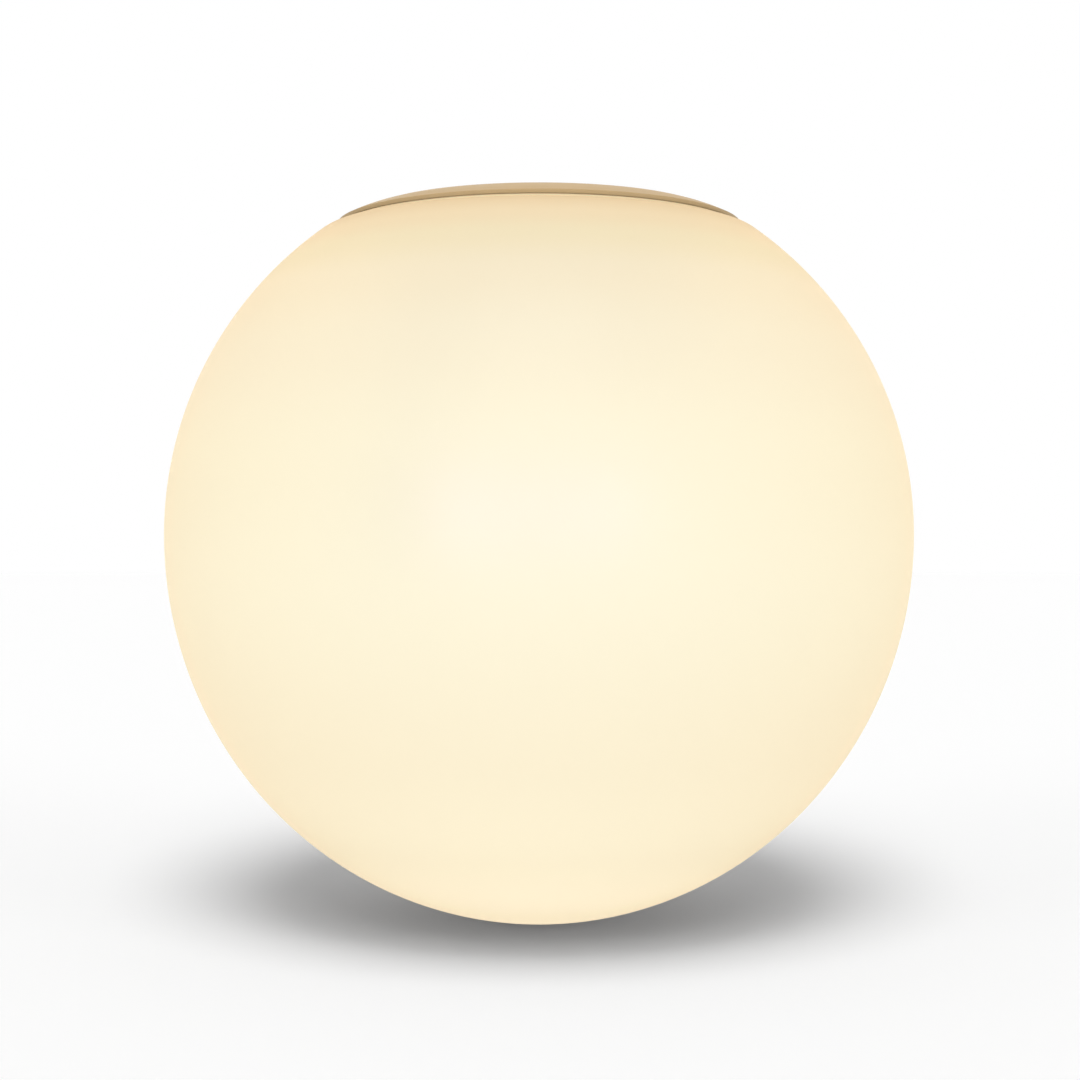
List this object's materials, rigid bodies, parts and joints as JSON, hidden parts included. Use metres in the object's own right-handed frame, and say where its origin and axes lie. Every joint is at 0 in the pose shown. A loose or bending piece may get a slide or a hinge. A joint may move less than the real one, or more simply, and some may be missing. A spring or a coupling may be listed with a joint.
{
  "type": "globe wall light",
  "caption": "Opal glass globe light on a low round metal base, with a slotted wall bracket, spring clips that hold the glass, and a plug-in lamp lying across the globe.",
  "frame": {"origin": "centre of the base's mounting face, on the globe's axis", "axes": "+Z is the outward normal of the mounting face, towards the wall or ceiling. The globe hangs along -Z. The lamp lies along +X."},
  "size_m": [0.15, 0.15, 0.143],
  "materials": {
    "opal_glass": "satin opal, frosted, glows warm white",
    "sand_lacquer": "satin sand-coloured lacquer on die-cast aluminium",
    "zinc_plated_steel": "zinc plated",
    "spring_steel": "stainless spring strip",
    "rivet_aluminium": "plain",
    "black_nylon": "moulded nylon",
    "ivory_silicone": "matt silicone",
    "mica_sheet": "mica insulation sheet",
    "steatite": "unglazed steatite",
    "white_polyamide": "moulded polyamide",
    "terminal_brass": "turned brass",
    "tinned_copper": "tinned",
    "brown_silicone": "silicone sleeve",
    "blue_silicone": "silicone sleeve",
    "board_ceramic": "white board",
    "white_lamp_plastic": "moulded, slightly glossy",
    "frosted_lamp_cover": "milky diffuser",
    "led_phosphor": "phosphor"
  },
  "bodies": {
    "base": {"base_housing": "sand_lacquer", "wall_bracket": "zinc_plated_steel", "clinch_nuts": "zinc_plated_steel", "housing_screws": "zinc_plated_steel", "cable_bushing": "black_nylon", "globe_gasket": "ivory_silicone", "spring_clip_1": "spring_steel", "spring_clip_2": "spring_steel", "spring_clip_3": "spring_steel", "clip_rivets": "rivet_aluminium", "lamp_bracket": "zinc_plated_steel", "lamp_bracket_screws": "zinc_plated_steel", "lead_grommet": "ivory_silicone", "lampholder_insulator": "mica_sheet", "lampholder_body": "steatite", "lampholder_contacts": "spring_steel", "lampholder_screws": "zinc_plated_steel", "lampholder_nuts": "zinc_plated_steel", "terminal_body": "white_polyamide", "terminal_clamps": "terminal_brass", "terminal_screws": "zinc_plated_steel", "terminal_fixing_screw": "zinc_plated_steel", "earth_lock_washer": "zinc_plated_steel", "earth_saddle": "terminal_brass", "earth_screw": "terminal_brass", "lead_ferrules": "tinned_copper", "live_lead": "brown_silicone", "neutral_lead": "blue_silicone"},
    "globe": {"glass_globe": "opal_glass"},
    "lamp": {"lamp_pins": "tinned_copper", "lamp_board": "board_ceramic", "lamp_base": "white_lamp_plastic", "lamp_cover": "frosted_lamp_cover", "led_chips": "led_phosphor"}
  },
  "joints": [
    {"name": "globe_pull", "type": "slide", "parent": "base", "child": "globe", "axis": [0, 0, -1], "range_m": [0, 0.1], "deforming": ["spring_clip_1", "spring_clip_2", "spring_clip_3"]},
    {"name": "lamp_pull", "type": "slide", "parent": "base", "child": "lamp", "axis": [1, 0, 0], "range_m": [0, 0.02]}
  ]
}
